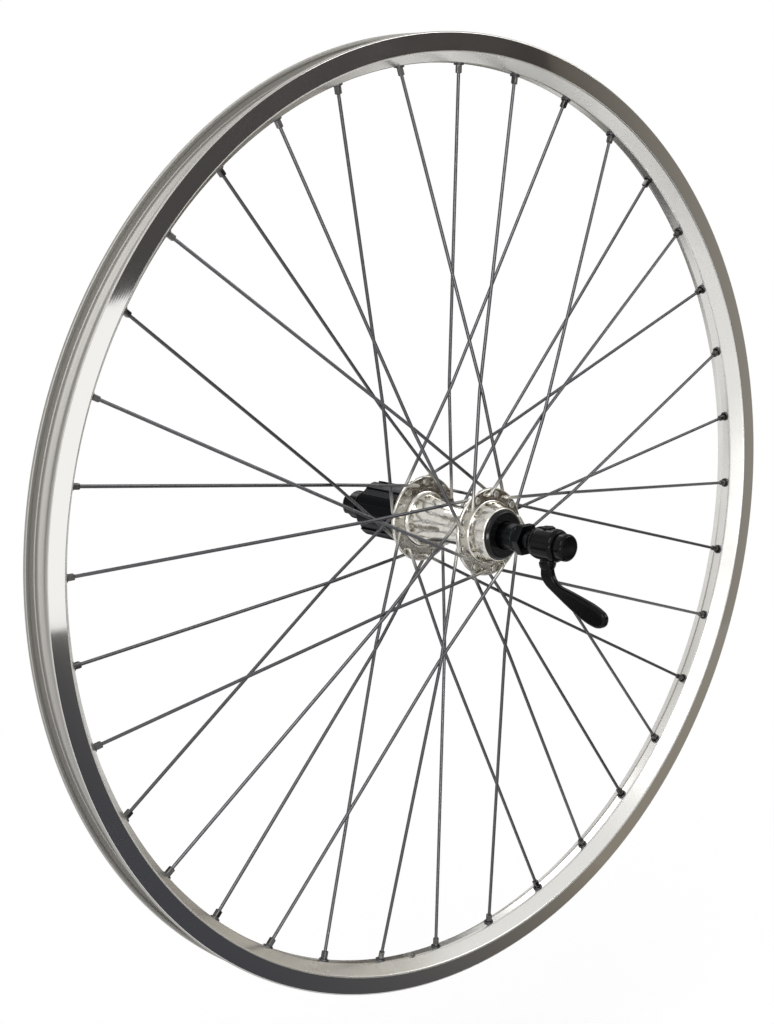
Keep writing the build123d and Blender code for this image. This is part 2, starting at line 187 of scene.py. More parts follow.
soft_lamp("key_lamp", (-1.6, -1.2, 1.6), size=1.4, power=26)
soft_lamp("side_lamp", (1.5, -1.4, 0.9), size=1.2, power=14)
soft_lamp("back_lamp", (0.4, 1.9, 1.2), size=1.4, power=16)
soft_lamp("spark_lamp", (-1.25, -1.75, -0.20), size=0.5, power=9)


def card(name, middle, across, along, colours):
    """A card, given by its middle and two half sides, that only reflections see.

    It turns from the first colour to the second towards the end of its first side.
    """
    bm = bmesh.new()
    bm.loops.layers.uv.new("card")
    bmesh.ops.create_grid(bm, x_segments=1, y_segments=1, size=1.0, calc_uvs=True)
    across, along = Vector(across), Vector(along)
    turn = Matrix((across, along, across.cross(along))).transposed().to_4x4()
    bmesh.ops.transform(bm, matrix=Matrix.Translation(middle) @ turn, verts=bm.verts)
    made = piece_from(bm, name)
    glossy_only = bpy.data.materials.new(name)
    shade = empty_tree(glossy_only)
    place = add_node(shade, "ShaderNodeTexCoord").outputs["UV"]
    ramp = add_node(
        shade, "ShaderNodeTexGradient", links={"Vector": place}, gradient_type="QUADRATIC",
    )
    tint = add_node(
        shade, "ShaderNodeMix", {"A": linear(colours[0]), "B": linear(colours[1])},
        {"Factor": ramp.outputs["Fac"]}, data_type="RGBA",
    )
    glow = add_node(
        shade, "ShaderNodeEmission", {"Strength": 1.0}, {"Color": tint.outputs["Result"]},
    )
    add_node(shade, "ShaderNodeOutputMaterial", links={"Surface": glow.outputs[0]})
    made.data.materials.append(glossy_only)
    made.visible_camera = False
    made.visible_diffuse = False
    made.visible_shadow = False
    made.visible_transmission = False


# The same cards stand in front and behind, so that both faces of the wheel show the same bands.
HUB_BROWN = "#473E32"
for side, end in ((-1, "front"), (1, "rear")):
    card(
        f"dark_floor_{end}", (0.42, side * 0.82, floor_z + 0.003), (0.21, -side * 0.063, 0),
        (-0.183, -side * 0.61, 0), ("#434449", "#898378"),
    )
    card(
        f"grey_floor_{end}", (0.90, side * 0.59, floor_z + 0.002), (0.50, side * 0.29, 0),
        (0.07, -side * 0.12, 0), ("#8C867C", "#938F88"),
    )
    card(
        f"brown_wall_{end}", (0.813, side * 1.272, 0.32), (0.313, -side * 0.278, 0), (0, 0, 0.30),
        ("#4C4A4A", "#3D3937"),
    )
    for band, middle_z, half_z in (("wall", -0.14, 0.16), ("sill", -0.384, 0.050)):
        card(
            f"hub_{band}_{end}", (1.05, side * 1.06, middle_z), (0.16, -side * 0.14, 0),
            (0, 0, half_z), (HUB_BROWN, HUB_BROWN),
        )
    card(
        f"grey_wall_{end}", (1.373, side * 0.782, 0.08), (-0.247, side * 0.212, 0), (0, 0, 0.54),
        ("#9D9891", "#57524B"),
    )
card(
    "grey_floor_left", (-1.05, 0.70, floor_z + 0.002), (0.45, -0.26, 0), (0.10, 0.17, 0),
    ("#6E6A62", "#938F88"),
)
card(
    "pale_wall_right", (1.90, 0.35, 0.60), (0, 0.85, 0), (0, 0, 1.00), ("#CDC7BC", "#CDC7BC"),
)
card(
    "grey_wall_behind", (-0.25, 1.60, 0.60), (1.15, 0, 0), (0, 0, 0.70), ("#9F9A92", "#9F9A92"),
)

# Rim: an extruded aluminium hoop with a hollow box section, bent round, pinned and polished.
# Its flat sides are brake tracks, its lips hook in over the tyre bead, and 36 holes in the
# narrow bed on its inside take the spokes.

RIM_RADIUS = 0.2854
RIM_HALF = 0.0114
BED_RADIUS = 0.2685
BED_HALF = 0.0032
TRACK_FOOT = 0.2743
CHANNEL_HALF = 0.0098
LIP_HALF = 0.0090
LIP_DEPTH = 0.0019
SEAT_RADIUS = 0.2795
SEAT_HALF = 0.0072
WELL_RADIUS = 0.2769
WELL_HALF = 0.0052
RIM_STEPS = 288
VALVE_ANGLE = math.radians(263.43)
VALVE_RADIUS = 0.00425
SPOKES = 36
FIRST_ANGLE = math.radians(88.43)
EYELET_HOLE = 0.0023
EYELET_DRILL = 0.006
VALVE_DRILL = 0.03
TRACK_SKIN = 0.00003
CHANNEL_FLOOR = WELL_RADIUS - 0.0010
CHANNEL_ROUGHNESS = 0.58
ALONG_AXLE = Matrix.Rotation(math.radians(-90), 4, "X")


def rim_angle(index):
    """Angle of a spoke's place on the rim, from +X towards +Z."""
    return FIRST_ANGLE - index * math.tau / SPOKES


def out_along(angle):
    """Unit vector from the axle at an angle."""
    return Vector((math.cos(angle), 0, math.sin(angle)))


def pointing(place, direction):
    """A frame at a place whose Z points along a direction."""
    return Matrix.Translation(place) @ direction.to_track_quat("Z", "Y").to_matrix().to_4x4()


def rounded_wire(bm, outline):
    """Join (across, along, rounding) corners into a closed wire and round each corner."""
    corners = [bm.verts.new((across, 0, along)) for across, along, rounding in outline]
    for first, second in zip(corners, corners[1:] + corners[:1]):
        if first.co.x or second.co.x:
            bm.edges.new((first, second))
    for corner, (across, along, rounding) in zip(corners, outline):
        if rounding:
            bmesh.ops.bevel(
                bm, geom=[corner], offset=rounding, offset_type="OFFSET", affect="VERTICES",
                segments=5, profile=0.5, material=-1,
            )


def turned(outline, steps, place=ALONG_AXLE):
    """Spin a closed outline of (radius, distance along, corner rounding) about its axis."""
    bm = bmesh.new()
    rounded_wire(bm, outline)
    bmesh.ops.spin(
        bm, geom=bm.verts[:] + bm.edges[:], cent=(0, 0, 0), axis=(0, 0, 1), angle=math.tau,
        steps=steps, use_merge=True, use_duplicate=False,
    )
    bmesh.ops.remove_doubles(bm, verts=bm.verts, dist=1e-6)
    bmesh.ops.recalc_face_normals(bm, faces=bm.faces)
    bmesh.ops.transform(bm, matrix=place, verts=bm.verts)
    return bm


def rod(bm, radius, depth, sides, place=Matrix()):
    """Add a closed round rod to a bmesh."""
    bmesh.ops.create_cone(
        bm, cap_ends=True, segments=sides, radius1=radius, radius2=radius, depth=depth,
        matrix=place,
    )


def repeat(bm, places):
    """Copy all that a bmesh holds to each place and drop the first."""
    first = bm.verts[:] + bm.edges[:] + bm.faces[:]
    for place in places:
        made = bmesh.ops.duplicate(bm, geom=first)["geom"]
        copies = [item for item in made if isinstance(item, bmesh.types.BMVert)]
        bmesh.ops.transform(bm, matrix=place, verts=copies)
    originals = [item for item in first if isinstance(item, bmesh.types.BMVert)]
    bmesh.ops.delete(bm, geom=originals, context="VERTS")
    return bm


def carve(piece, cutter_bm):
    """Cut a bmesh's closed shells out of a piece."""
    bmesh.ops.recalc_face_normals(cutter_bm, faces=cutter_bm.faces)
    cutter = piece_from(cutter_bm, "cutter")
    cut = piece.modifiers.new("cut", "BOOLEAN")
    cut.operation = "DIFFERENCE"
    cut.solver = "EXACT"
    cut.object = cutter
    bpy.context.view_layer.update()
    result = piece.evaluated_get(bpy.context.evaluated_depsgraph_get())
    carved = bpy.data.meshes.new_from_object(result)
    piece.modifiers.clear()
    old = piece.data
    piece.data = carved
    bpy.data.meshes.remove(old)
    bpy.data.objects.remove(cutter)


def smooth(piece, degrees=32):
    """Shade round faces smooth, keep sharp edges, and keep faces flat beside small bevels."""
    piece.data.shade_smooth()
    piece.data.set_sharp_from_angle(angle=math.radians(degrees))
    flat = piece.modifiers.new("flat_faces", "WEIGHTED_NORMAL")
    flat.keep_sharp = True


def belongs(piece, material, body, slot, *nodes):
    """Give a piece its finish, the body it moves with and the nodes it stands for."""
    piece.data.materials.append(material)
    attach(piece, body)
    if nodes:
        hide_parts(*nodes)


half_outline = [
    (BED_RADIUS, BED_HALF, 0.0010),
    (TRACK_FOOT, RIM_HALF, 0.0008),
    (RIM_RADIUS, RIM_HALF, 0.0008),
    (RIM_RADIUS, LIP_HALF, 0.0006),
    (RIM_RADIUS - LIP_DEPTH, LIP_HALF, 0.0003),
    (RIM_RADIUS - 1.5 * LIP_DEPTH, CHANNEL_HALF, 0.0004),
    (SEAT_RADIUS, CHANNEL_HALF, 0.0007),
    (SEAT_RADIUS, SEAT_HALF, 0.0008),
    (WELL_RADIUS, WELL_HALF, 0.0008),
]
rim_outline = half_outline + [(radius, -y, edge) for radius, y, edge in reversed(half_outline)]
rim = piece_from(turned(rim_outline, RIM_STEPS), "rim_hoop")
bed_places = [
    pointing(out_along(rim_angle(index)) * BED_RADIUS, out_along(rim_angle(index)))
    for index in range(SPOKES)
]
valve_place = pointing(out_along(VALVE_ANGLE) * BED_RADIUS, out_along(VALVE_ANGLE))
drills = bmesh.new()
rod(drills, EYELET_HOLE, EYELET_DRILL, sides=20)
repeat(drills, bed_places)
rod(drills, VALVE_RADIUS, VALVE_DRILL, sides=32, place=valve_place)
carve(rim, drills)
smooth(rim)

# Silver anodised aluminium: satin all over and rougher in the tyre channel, which is never
# polished; the channel's greyer tint is painted shade for that recess. The brake tracks are
# machined to a mirror that shows the room in sharp bands.
alloy = bpy.data.materials.new("machined_anodised_aluminium")
tree = empty_tree(alloy)
spot = add_node(tree, "ShaderNodeTexCoord").outputs["Object"]
across = add_node(tree, "ShaderNodeSeparateXYZ", links={"Vector": spot})
side = add_node(tree, "ShaderNodeMath", links={0: across.outputs["Y"]}, operation="ABSOLUTE")
flat = add_node(tree, "ShaderNodeVectorMath", {1: (1, 0, 1)}, {0: spot}, operation="MULTIPLY")
radius = add_node(tree, "ShaderNodeVectorMath", links={0: flat.outputs[0]}, operation="LENGTH")
track = add_node(
    tree, "ShaderNodeMath", {1: RIM_HALF - TRACK_SKIN}, {0: side.outputs[0]},
    operation="GREATER_THAN",
)
inside = add_node(
    tree, "ShaderNodeMath", {1: RIM_HALF - TRACK_SKIN}, {0: side.outputs[0]},
    operation="LESS_THAN",
)
outer = add_node(
    tree, "ShaderNodeMath", {1: CHANNEL_FLOOR}, {0: radius.outputs["Value"]},
    operation="GREATER_THAN",
)
channel = add_node(
    tree, "ShaderNodeMath", links={0: inside.outputs[0], 1: outer.outputs[0]}, operation="MULTIPLY",
)
# Polishing leaves a haze in patches of about 22 mm.
haze = add_node(tree, "ShaderNodeTexNoise", {"Scale": 45.0, "Detail": 3.0}, {"Vector": spot})
satin = add_node(
    tree, "ShaderNodeMapRange", {"To Min": 0.20, "To Max": 0.34}, {"Value": haze.outputs["Fac"]},
)
mirror = add_node(
    tree, "ShaderNodeMapRange", {"To Min": 0.02, "To Max": 0.08}, {"Value": haze.outputs["Fac"]},
)
smoothed = add_node(
    tree, "ShaderNodeMix", data_type="FLOAT",
    links={"Factor": track.outputs[0], "A": satin.outputs[0], "B": mirror.outputs[0]},
)
rough = add_node(
    tree, "ShaderNodeMix", {"B": CHANNEL_ROUGHNESS}, data_type="FLOAT",
    links={"Factor": channel.outputs[0], "A": smoothed.outputs["Result"]},
)
silver = add_node(
    tree, "ShaderNodeMix", {"A": linear("#DCDBD7"), "B": linear("#F1F0ED")},
    {"Factor": track.outputs[0]}, data_type="RGBA",
)
# Painted shade: the tyre channel is tinted a darker grey than the rest of the rim.
tint = add_node(
    tree, "ShaderNodeMix", {"B": linear("#A8A6A2")},
    {"Factor": channel.outputs[0], "A": silver.outputs["Result"]}, data_type="RGBA",
)
# Turning lines are about 0.3 mm apart, too fine to show, so they are drawn 1.3 mm apart.
lines = add_node(
    tree, "ShaderNodeTexWave", {"Scale": 240.0}, {"Vector": spot}, wave_type="RINGS",
    rings_direction="Y",
)
height = add_node(
    tree, "ShaderNodeMath", links={0: lines.outputs["Fac"], 1: track.outputs[0]},
    operation="MULTIPLY",
)
bump = add_node(
    tree, "ShaderNodeBump", {"Strength": 0.004, "Distance": 0.0002}, {"Height": height.outputs[0]},
)
metal = add_node(tree, "ShaderNodeBsdfPrincipled", {"Metallic": 1.0}, {
    "Base Color": tint.outputs["Result"],
    "Roughness": rough.outputs["Result"],
    "Normal": bump.outputs[0],
})
add_node(tree, "ShaderNodeOutputMaterial", links={"Surface": metal.outputs[0]})
belongs(rim, alloy, "wheel", "rim_alloy", "rim")

# Eyelets: a ring of plated steel, pressed from sheet and rolled into each spoke hole. It spreads
# the nipple's pull over the thin aluminium bed.

EYELET_RADIUS = 0.0030
EYELET_BORE = EYELET_HOLE - 0.0003
EYELET_RISE = 0.0010
EYELET_SINK = 0.0003
EYELET_SHANK = 0.0015


def finish(name, colours, metallic, roughness, grain_mm, relief, shine=0.5):
    """A material that mottles between two colours and roughnesses over a grain of some size."""
    made = bpy.data.materials.new(name)
    tree = empty_tree(made)
    spot = add_node(tree, "ShaderNodeTexCoord").outputs["Object"]
    grain = add_node(
        tree, "ShaderNodeTexNoise", {"Scale": 1000 / grain_mm, "Detail": 4.0}, {"Vector": spot},
    )
    shade = grain.outputs["Fac"]
    tint = add_node(
        tree, "ShaderNodeMix", {"A": linear(colours[0]), "B": linear(colours[1])},
        {"Factor": shade}, data_type="RGBA",
    )
    rough = add_node(
        tree, "ShaderNodeMapRange", {"To Min": roughness[0], "To Max": roughness[1]},
        {"Value": shade},
    )
    bump = add_node(
        tree, "ShaderNodeBump", {"Strength": relief, "Distance": grain_mm / 4000},
        {"Height": shade},
    )
    shader = add_node(
        tree, "ShaderNodeBsdfPrincipled", {"Metallic": metallic, "Specular IOR Level": shine},
        {
            "Base Color": tint.outputs["Result"],
            "Roughness": rough.outputs[0],
            "Normal": bump.outputs[0],
        },
    )
    add_node(tree, "ShaderNodeOutputMaterial", links={"Surface": shader.outputs[0]})
    return made


eyelet_outline = [
    (EYELET_BORE, EYELET_SHANK, 0),
    (EYELET_BORE, -EYELET_RISE, 0.0004),
    (EYELET_RADIUS, -EYELET_RISE, 0.0004),
    (EYELET_RADIUS, EYELET_SINK, 0),
    (EYELET_HOLE, EYELET_SINK, 0),
    (EYELET_HOLE, EYELET_SHANK, 0),
]
eyelets = repeat(turned(eyelet_outline, steps=24, place=Matrix()), bed_places)
eyelets = piece_from(eyelets, "spoke_eyelets")
smooth(eyelets)
# Zinc-plated steel: a grey sheen, duller than the rim and blotched by the plating. Its dark
# grey is painted shade.
zinc = finish(
    "zinc_plated_steel", ("#5A5B5D", "#3E3F41"), metallic=1.0, roughness=(0.28, 0.42),
    grain_mm=1.2, relief=0.1,
)
belongs(eyelets, zinc, "wheel", "nipple_silver")

# Hub shell: an aluminium barrel forged with two flanges, turned, polished and drilled for 18
# spokes a side. The left boss holds the bearing cup, and the right end takes the freehub core.

LEFT_FLANGE = -0.0350
RIGHT_FLANGE = 0.0200
FLANGE_HALF = 0.0012
FLANGE_RADIUS = 0.0260
HUB_LEFT = -0.0465
HUB_RIGHT = 0.0255
HUB_BORE = 0.0074
WAIST_RADIUS = 0.0116
RIGHT_BOSS = 0.0175
CUP_RADIUS = 0.0127
CUP_FLOOR = -0.0392
SPOKE_CIRCLE = 0.0225
SPOKE_HOLE = 0.0013
SPOKE_DRILL = 0.006
LACING_TURN = math.radians(60)


def flange_place(index):
    """The middle of a spoke's hole, which way it leaves the flange, and which way it slants."""
    side = 1 if index % 2 == 0 else -1
    sense = 1 if index % 4 in (1, 2) else -1
    hole = out_along(rim_angle(index) + sense * LACING_TURN) * SPOKE_CIRCLE
    hole.y = RIGHT_FLANGE if side > 0 else LEFT_FLANGE
    return hole, side * sense, sense


hub = piece_from(turned([
    (0.0156, HUB_LEFT, 0.0008),
    (0.0182, LEFT_FLANGE - FLANGE_HALF, 0.0010),
    (FLANGE_RADIUS, LEFT_FLANGE - FLANGE_HALF, 0.0009),
    (FLANGE_RADIUS, LEFT_FLANGE + FLANGE_HALF, 0.0009),
    (0.0145, LEFT_FLANGE + FLANGE_HALF, 0.0022),
    (WAIST_RADIUS, -0.0215, 0.0050),
    (WAIST_RADIUS, -0.0015, 0.0050),
    (0.0155, RIGHT_FLANGE - FLANGE_HALF, 0.0022),
    (FLANGE_RADIUS, RIGHT_FLANGE - FLANGE_HALF, 0.0009),
    (FLANGE_RADIUS, RIGHT_FLANGE + FLANGE_HALF, 0.0009),
    (RIGHT_BOSS, RIGHT_FLANGE + FLANGE_HALF, 0.0010),
    (RIGHT_BOSS, HUB_RIGHT, 0.0005),
    (HUB_BORE, HUB_RIGHT, 0),
    (HUB_BORE, CUP_FLOOR, 0),
    (CUP_RADIUS, CUP_FLOOR, 0),
    (CUP_RADIUS, HUB_LEFT, 0),
], steps=128), "hub_barrel")
drills = bmesh.new()
rod(drills, SPOKE_HOLE, SPOKE_DRILL, sides=16, place=ALONG_AXLE)
repeat(drills, [Matrix.Translation(flange_place(index)[0]) for index in range(SPOKES)])
carve(hub, drills)
smooth(hub)
# Polished forged aluminium: bright, with a soft mottle left by the forging under the polish.
forged = finish(
    "polished_forged_aluminium", ("#E2E0DA", "#BFBBB2"), metallic=1.0, roughness=(0.07, 0.20),
    grain_mm=5.0, relief=0.14,
)
belongs(hub, forged, "wheel", "hub_alloy", "hub_shell")

# Spokes: 36 drawn stainless wires of 2 mm, each with a stamped head, an elbow at the flange and
# a slight bend where it passes over its partner at the third crossing.

SPOKE_RADIUS = 0.0010
HEAD_RADIUS = 0.0021
HEAD_HEIGHT = 0.0010
HEAD_DOME = 0.0003
HEAD_EDGE = 0.0003
HEAD_NECK = 0.0004
DOME_SHARE = 0.7
ELBOW_OFFSET = 0.0037
ELBOW_BEND = 0.0019
CROSSING_BEND = 0.060
CROSSING_PLAY = 0.00005
BED_MIDDLE = BED_RADIUS + 0.0008
WIRE_END = 0.0032
WIRE_SIDES = 12
# Painted highlight on the spokes: where it starts, and where it is full near the flange.
PAINTED_LIGHT_START = FLANGE_RADIUS + 0.006
PAINTED_LIGHT_FULL = FLANGE_RADIUS - 0.002
CROSSING_TURN = math.tau / SPOKES
CROSSING_RADIUS = SPOKE_CIRCLE * BED_MIDDLE * math.sin(LACING_TURN) / (
    SPOKE_CIRCLE * math.sin(LACING_TURN - CROSSING_TURN) + BED_MIDDLE * math.sin(CROSSING_TURN)
)


def push(bm, end, travel, widen=1.0):
    """Extrude a bar's end face along a vector and scale the new end."""
    made = bmesh.ops.extrude_face_region(bm, geom=[end])["geom"]
    moved = [item for item in made if isinstance(item, bmesh.types.BMVert)]
    bmesh.ops.translate(bm, vec=travel, verts=moved)
    new_end = next(item for item in made if isinstance(item, bmesh.types.BMFace))
    middle = Matrix.Translation(-new_end.calc_center_median())
    bmesh.ops.scale(bm, vec=(widen, widen, widen), space=middle, verts=moved)
    return new_end


def bend(bm, end, ahead, toward, radius, steps):
    """Spin a bar's end face round until the bar points along a new direction."""
    axis = ahead.cross(toward).normalized()
    made = bmesh.ops.spin(
        bm, geom=[end, *end.edges, *end.verts], axis=axis, angle=ahead.angle(toward), steps=steps,
        cent=end.calc_center_median() + axis.cross(ahead) * radius, use_duplicate=False,
    )["geom_last"]
    return next(item for item in made if isinstance(item, bmesh.types.BMFace))


def spoke_run(index):
    """A spoke's elbow corner, crossing and rim places."""
    hole, outward, sense = flange_place(index)
    nipple = out_along(rim_angle(index)) * BED_MIDDLE
    crossing = out_along(rim_angle(index) + sense * CROSSING_TURN) * CROSSING_RADIUS
    flat_hole = Vector((hole.x, 0, hole.z))
    share = (crossing - flat_hole).length / (nipple - flat_hole).length
    crossing.y = hole.y * (1 - share) - outward * (SPOKE_RADIUS + CROSSING_PLAY)
    return hole + Vector((0, outward * ELBOW_OFFSET, 0)), crossing, nipple


# Drawn stainless wire: half bright, with faint draw marks that break up its shine. Its dark grey
# is painted shade, and each wire brightens at the hub as a painted highlight on heads and elbows.
stainless = finish(
    "drawn_stainless_wire", ("#69696C", "#4B4B4E"), metallic=1.0, roughness=(0.22, 0.36),
    grain_mm=1.5, relief=0.05,
)
tree = stainless.node_tree
spot = add_node(tree, "ShaderNodeTexCoord").outputs["Object"]
flat = add_node(tree, "ShaderNodeVectorMath", {1: (1, 0, 1)}, {0: spot}, operation="MULTIPLY")
radius = add_node(tree, "ShaderNodeVectorMath", links={0: flat.outputs[0]}, operation="LENGTH")
# Painted highlight: the wire's painted-shade grey turns to a bright steel towards the hub.
painted_light_near_hub = add_node(
    tree, "ShaderNodeMapRange", {"From Min": PAINTED_LIGHT_START, "From Max": PAINTED_LIGHT_FULL},
    {"Value": radius.outputs["Value"]},
)
metal = tree.nodes["Principled BSDF"]
wire_tint = metal.inputs["Base Color"].links[0].from_socket
tint = add_node(
    tree, "ShaderNodeMix", {"B": linear("#BAB8B1")}, {"Factor": painted_light_near_hub.outputs[0], "A": wire_tint},
    data_type="RGBA",
)
tree.links.new(tint.outputs["Result"], metal.inputs["Base Color"])
for index in range(SPOKES):
    hole, outward, sense = flange_place(index)
    corner, crossing, nipple = spoke_run(index)
    along = Vector((0, outward, 0))
    second = (crossing - corner).normalized()
    third = (nipple - crossing).normalized()
    elbow_cut = ELBOW_BEND * math.tan(along.angle(second) / 2)
    crossing_cut = CROSSING_BEND * math.tan(second.angle(third) / 2)
    head_top = hole - along * (FLANGE_HALF + HEAD_HEIGHT)
    wire = bmesh.new()
    bmesh.ops.create_circle(
        wire, cap_ends=True, segments=WIRE_SIDES, radius=HEAD_RADIUS * DOME_SHARE,
        matrix=pointing(head_top, along),
    )
    wire.faces.ensure_lookup_table()
    end = push(wire, wire.faces[0], along * HEAD_DOME, 1 / DOME_SHARE)
    end = push(wire, end, along * HEAD_EDGE)
    end = push(wire, end, along * HEAD_NECK, SPOKE_RADIUS / HEAD_RADIUS)
    end = push(wire, end, along * (FLANGE_HALF + ELBOW_OFFSET - elbow_cut))
    end = bend(wire, end, along, second, ELBOW_BEND, steps=6)
    end = push(wire, end, second * ((crossing - corner).length - elbow_cut - crossing_cut))
    end = bend(wire, end, second, third, CROSSING_BEND, steps=3)
    push(wire, end, third * ((nipple - crossing).length - crossing_cut + WIRE_END))
    bmesh.ops.recalc_face_normals(wire, faces=wire.faces)
    flange_side = "right" if index % 2 == 0 else "left"
    node = f"spoke_{flange_side}_{index // 2 + 1:02d}"
    piece = piece_from(wire, f"wire_{node}")
    smooth(piece, degrees=40)
    belongs(piece, stainless, "wheel", "spoke_steel", node)

# Nipples: long brass nuts, nickel plated, that draw each spoke tight from inside the rim. The
# shank has four flats for a spoke key, and a round collar sits in the eyelet.

NIPPLE_FOOT = -0.0064
NIPPLE_SEAT = 0.0016
NIPPLE_TOP = 0.0041
NIPPLE_FLAT = 0.00165
NIPPLE_CORE = 0.0004
COLLAR_FOOT = -0.0026
NIPPLE_HEAD = 0.0026


def round_edges(bm, edges, offset, segments):
    """Round some edges of a bmesh."""
    bmesh.ops.bevel(
        bm, geom=edges, offset=offset, offset_type="OFFSET", affect="EDGES", segments=segments,
        profile=0.5, material=-1,
    )


def take_in(bm, other):
    """Move all that another bmesh holds into a bmesh."""
    mesh = bpy.data.meshes.new("taken_in")
    other.to_mesh(mesh)
    other.free()
    bm.from_mesh(mesh)
    bpy.data.meshes.remove(mesh)


nipple = bmesh.new()
bmesh.ops.create_circle(
    nipple, cap_ends=True, segments=4, radius=NIPPLE_FLAT * math.sqrt(2),
    matrix=Matrix.Translation((0, 0, NIPPLE_FOOT)) @ Matrix.Rotation(math.radians(45), 4, "Z"),
)
nipple.faces.ensure_lookup_table()
push(nipple, nipple.faces[0], (0, 0, NIPPLE_SEAT - NIPPLE_FOOT))
bmesh.ops.recalc_face_normals(nipple, faces=nipple.faces)
corners = [e for e in nipple.edges if abs(e.verts[0].co.z - e.verts[1].co.z) > 0.001]
round_edges(nipple, corners, offset=0.0007, segments=3)
foot = [e for e in nipple.edges if max(v.co.z for v in e.verts) < NIPPLE_FOOT + 0.0001]
round_edges(nipple, foot, offset=0.0005, segments=2)
take_in(nipple, turned([
    (NIPPLE_CORE, COLLAR_FOOT, 0),
    (0.0018, COLLAR_FOOT, 0.0003),
    (0.0019, NIPPLE_SEAT, 0),
    (NIPPLE_HEAD, NIPPLE_SEAT, 0),
    (NIPPLE_HEAD, NIPPLE_TOP, 0.0008),
    (NIPPLE_CORE, NIPPLE_TOP, 0),
], steps=20, place=Matrix()))
places = []
for index in range(SPOKES):
    corner, crossing, rim_place = spoke_run(index)
    places.append(pointing(rim_place, (rim_place - crossing).normalized()))
nipples = piece_from(repeat(nipple, places), "nipple_set")
smooth(nipples)
# Nickel plate on brass: a sharp shine, blotched by the spoke key. Its slightly warm dark grey
# is painted shade.
nickel = finish(
    "nickel_plated_brass", ("#6C6B69", "#3F3E3D"), metallic=1.0, roughness=(0.12, 0.24),
    grain_mm=1.0, relief=0.08,
)
belongs(nipples, nickel, "wheel", "nipple_silver", "spoke_nipples")

# Left dust cap: a disc of black nylon with a sloping edge, injection moulded. It is pressed over
# the mouth of the left bearing and turns with the hub, close round the cone.

CAP_BORE = 0.0083
CAP_RADIUS = 0.0150
CAP_FACE_RADIUS = 0.0132
CAP_EDGE = HUB_LEFT - 0.0010
CAP_FACE = HUB_LEFT - 0.0025

cap = piece_from(turned([
    (CAP_BORE, HUB_LEFT, 0),
    (CAP_RADIUS, HUB_LEFT, 0.0003),
    (CAP_RADIUS, CAP_EDGE, 0.0006),
    (CAP_FACE_RADIUS, CAP_FACE, 0.0006),
    (CAP_BORE, CAP_FACE, 0.0003),
], steps=96), "dust_cap_disc")
smooth(cap)
# Moulded nylon: deep black with a gloss from the tool, and a very slight orange-peel.
nylon = finish(
    "moulded_black_nylon", ("#08080A", "#0E0E0F"), metallic=0.0, roughness=(0.12, 0.22),
    grain_mm=0.9, relief=0.03, shine=0.25,
)
belongs(cap, nylon, "wheel", "cap_black", "left_dust_cap")

# Bearings: nine steel balls a side, hardened, ground and lapped. They run in grease between cup
# and cone, behind the dust cap and the freehub's seal.

BALLS_A_SIDE = 9
BALL_RADIUS = 0.003175
BALL_CIRCLE = 0.0094
LEFT_BALLS = -0.0425
RIGHT_BALLS = 0.0574

balls = bmesh.new()
bmesh.ops.create_icosphere(balls, subdivisions=3, radius=BALL_RADIUS)
repeat(balls, [
    Matrix.Translation(out_along(index * math.tau / BALLS_A_SIDE) * BALL_CIRCLE + Vector((0, y, 0)))
    for y in (LEFT_BALLS, RIGHT_BALLS) for index in range(BALLS_A_SIDE)
])
balls = piece_from(balls, "bearing_ball_set")
smooth(balls)
# Ground chrome steel: a near-perfect mirror, dulled in places by a film of grease.
chrome = finish(
    "ground_chrome_steel", ("#C9C9C9", "#BFBFBE"), metallic=1.0, roughness=(0.05, 0.14),
    grain_mm=2.0, relief=0.02,
)
belongs(balls, chrome, "wheel", "ball_steel", "bearing_balls")

# Axle: a hollow steel tube with a rolled thread, which the cones and locknuts clamp along. The
# skewer rod runs through it.

AXLE_RADIUS = 0.0050
AXLE_BORE = 0.0028
AXLE_END = 0.0730

# Rolled, zinc-plated steel: a dark satin grey with fine thread rings 1 mm apart.
thread = bpy.data.materials.new("rolled_zinc_thread")
tree = empty_tree(thread)
spot = add_node(tree, "ShaderNodeTexCoord").outputs["Object"]
ridges = add_node(
    tree, "ShaderNodeTexWave", {"Scale": 314.0}, {"Vector": spot}, bands_direction="Y",
)
blotch = add_node(tree, "ShaderNodeTexNoise", {"Scale": 400.0, "Detail": 3.0}, {"Vector": spot})
tint = add_node(
    tree, "ShaderNodeMix", {"A": linear("#3C3D3F"), "B": linear("#26272A")},
    {"Factor": blotch.outputs["Fac"]}, data_type="RGBA",
)
bump = add_node(
    tree, "ShaderNodeBump", {"Strength": 0.5, "Distance": 0.0004},
    {"Height": ridges.outputs["Fac"]},
)
metal = add_node(
    tree, "ShaderNodeBsdfPrincipled", {"Metallic": 1.0, "Roughness": 0.34},
    {"Base Color": tint.outputs["Result"], "Normal": bump.outputs[0]},
)
add_node(tree, "ShaderNodeOutputMaterial", links={"Surface": metal.outputs[0]})
axle = piece_from(turned([
    (AXLE_BORE, -AXLE_END, 0.0003),
    (AXLE_RADIUS, -AXLE_END, 0.0006),
    (AXLE_RADIUS, AXLE_END, 0.0006),
    (AXLE_BORE, AXLE_END, 0.0003),
], steps=48), "axle_tube")
smooth(axle)
belongs(axle, thread, "axle_set", "axle_steel", "axle")

# Cones: turned from hardened steel, with a ground race at the bearing and a long body out to the
# locknut. They screw along the axle's thread, which sets the play of the bearings.

CONE_RADIUS = 0.0080
CONE_END = 0.0625
RACE_PLAY = 0.00015
GROOVE_RADIUS = CONE_RADIUS - 0.0006
GROOVE_FROM_END = 0.0022


